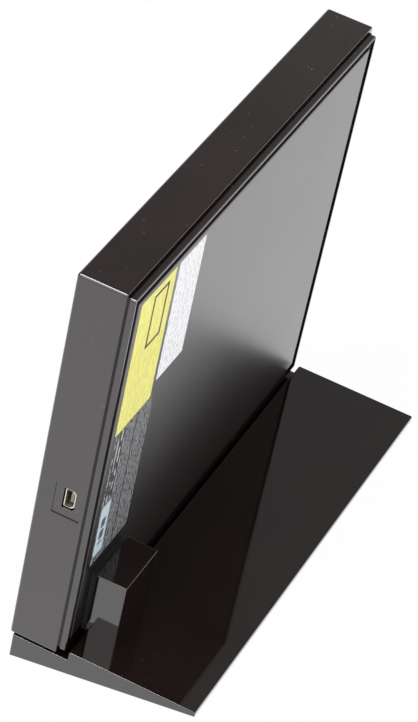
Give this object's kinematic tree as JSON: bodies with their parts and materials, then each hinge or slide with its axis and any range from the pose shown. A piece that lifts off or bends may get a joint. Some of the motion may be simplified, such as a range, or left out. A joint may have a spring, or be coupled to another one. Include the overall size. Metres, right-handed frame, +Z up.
{
  "type": "external optical disc drive",
  "caption": "Slim external blu-ray drive standing on edge in a leaning wedge stand, with a sliding disc tray, spindle, pickup sled, latch and eject button.",
  "frame": {"origin": "centre of the footprint's bounding box, on the table under the stand's feet", "axes": "+Y from the drive's rear face with the socket towards the tray front, +Z up, +X across the stand, towards its thin edge"},
  "size_m": [0.0699, 0.1914, 0.1634],
  "materials": {
    "gloss_black": "high gloss",
    "housing_black": "high gloss",
    "panel_black": "satin gloss",
    "base_black": "matt",
    "soft_pad": "matt",
    "foot_rubber": "matt",
    "screw_steel": "satin",
    "socket_steel": "satin",
    "contact_plastic": "matt",
    "board_green": "satin",
    "chip_black": "matt",
    "sheet_steel": "satin",
    "guide_plastic": "satin",
    "rail_steel": "satin",
    "cable_film": "satin",
    "tray_black": "matt",
    "bezel_black": "gloss",
    "shield_steel": "satin",
    "cast_metal": "cast",
    "damper_rubber": "matt",
    "rod_steel": "polished",
    "motor_steel": "satin",
    "copper_winding": "varnished copper",
    "rotor_metal": "satin",
    "ring_rubber": "matt",
    "hub_plastic": "satin",
    "sled_plastic": "matt",
    "lens_glass": "clear",
    "nut_plastic": "satin",
    "switch_plastic": "matt",
    "light_plastic": "clear, frosted",
    "lever_plastic": "satin",
    "coil_tape": "taped"
  },
  "bodies": {
    "stand": {"stand_wedge": "gloss_black", "stand_base_plate": "base_black", "stand_plate_screws": "screw_steel", "stand_feet": "foot_rubber", "seat_pads": "soft_pad", "retainer_post": "gloss_black", "post_pad": "soft_pad", "post_screws": "screw_steel"},
    "drive": {"upper_housing": "housing_black", "lower_housing": "housing_black", "underside_panel": "panel_black", "housing_screws": "screw_steel", "usb_shell": "socket_steel", "usb_tongue": "contact_plastic", "bridge_board": "board_green", "board_chips": "chip_black", "board_screws": "screw_steel", "sata_plug": "contact_plastic", "module_chassis": "sheet_steel", "module_cover": "sheet_steel", "module_screws": "screw_steel", "rail_guides": "guide_plastic", "module_board": "board_green", "sata_socket": "contact_plastic", "latch_pin": "rod_steel", "flat_cable": "cable_film"},
    "rails": {"rail_upper": "rail_steel", "rail_lower": "rail_steel"},
    "tray": {"tray": "tray_black", "tray_bezel": "bezel_black", "tray_shield": "shield_steel", "tray_screws": "screw_steel", "traverse_frame": "cast_metal", "damper_bushes": "damper_rubber", "damper_screws": "screw_steel", "guide_rods": "rod_steel", "sled_motor": "motor_steel", "spindle_motor_base": "motor_steel", "spindle_stator": "copper_winding", "tray_board": "board_green", "tray_chips": "chip_black", "light_pipe": "light_plastic", "eject_switch": "switch_plastic", "latch_solenoid": "coil_tape"},
    "spindle": {"spindle_rotor": "rotor_metal", "hub_ring": "ring_rubber", "disc_hub": "hub_plastic"},
    "jaw_1": {"hub_jaw_1": "nut_plastic"},
    "jaw_2": {"hub_jaw_2": "nut_plastic"},
    "jaw_3": {"hub_jaw_3": "nut_plastic"},
    "sled": {"pickup_sled": "sled_plastic", "rack_nut": "nut_plastic"},
    "lens": {"lens_holder": "lever_plastic", "objective_lens": "lens_glass"},
    "screw": {"lead_screw": "rod_steel"},
    "latch": {"latch_lever": "lever_plastic"},
    "plunger": {"solenoid_plunger": "rod_steel"},
    "button": {"eject_button": "bezel_black"}
  },
  "joints": [
    {"name": "drive_lift", "type": "slide", "parent": "stand", "child": "drive", "axis": [0.1659, 0, 0.9861], "range_m": [0, 0.04]},
    {"name": "tray_slide", "type": "slide", "parent": "drive", "child": "tray", "axis": [0, 1, 0], "range_m": [0, 0.126], "deforming": ["flat_cable"]},
    {"name": "rail_slide", "type": "slide", "parent": "drive", "child": "rails", "axis": [0, 1, 0], "range_m": [0, 0.063]},
    {"name": "spindle_spin", "type": "hinge", "parent": "tray", "child": "spindle", "pos_m": [-0.01556, 0.0281, 0.08612], "axis": [-0.9861, 0, 0.1659], "continuous": true},
    {"name": "jaw_1_press", "type": "slide", "parent": "spindle", "child": "jaw_1", "axis": [-0.1173, -0.7071, -0.6973], "range_m": [0, 0.0005], "stiffness_N_per_m": 500},
    {"name": "jaw_2_press", "type": "slide", "parent": "spindle", "child": "jaw_2", "axis": [0.1603, -0.2588, 0.9525], "range_m": [0, 0.0005], "stiffness_N_per_m": 500},
    {"name": "jaw_3_press", "type": "slide", "parent": "spindle", "child": "jaw_3", "axis": [-0.0429, 0.9659, -0.2552], "range_m": [0, 0.0005], "stiffness_N_per_m": 500},
    {"name": "sled_slide", "type": "slide", "parent": "tray", "child": "sled", "axis": [0.1173, 0.7071, 0.6973], "range_m": [0, 0.033]},
    {"name": "lead_screw_turn", "type": "hinge", "parent": "tray", "child": "screw", "pos_m": [-0.00861, 0.01608, 0.10001], "axis": [0.1173, 0.7071, 0.6973], "range_deg": [-10, 3970]},
    {"name": "lens_focus", "type": "slide", "parent": "sled", "child": "lens", "axis": [-0.9861, 0, 0.1659], "range_m": [-0.0005, 0.0005], "stiffness_N_per_m": 60},
    {"name": "latch_swing", "type": "hinge", "parent": "tray", "child": "latch", "pos_m": [-0.01515, 0.0643, 0.03941], "axis": [-0.9861, 0, 0.1659], "range_deg": [-0.2, 11]},
    {"name": "plunger_slide", "type": "slide", "parent": "tray", "child": "plunger", "axis": [0.1659, 0, 0.9861], "range_m": [0, 0.0017], "stiffness_N_per_m": 60},
    {"name": "eject_press", "type": "slide", "parent": "tray", "child": "button", "axis": [0, -1, 0], "range_m": [0, 0.0008], "stiffness_N_per_m": 400}
  ],
  "couplings": [
    {"joint": "rail_slide", "follows": "tray_slide", "ratio": 0.5},
    {"joint": "lead_screw_turn", "follows": "sled_slide", "rad_per_m": 2094.4},
    {"joint": "latch_swing", "follows": "plunger_slide", "rad_per_m": 111.11}
  ]
}
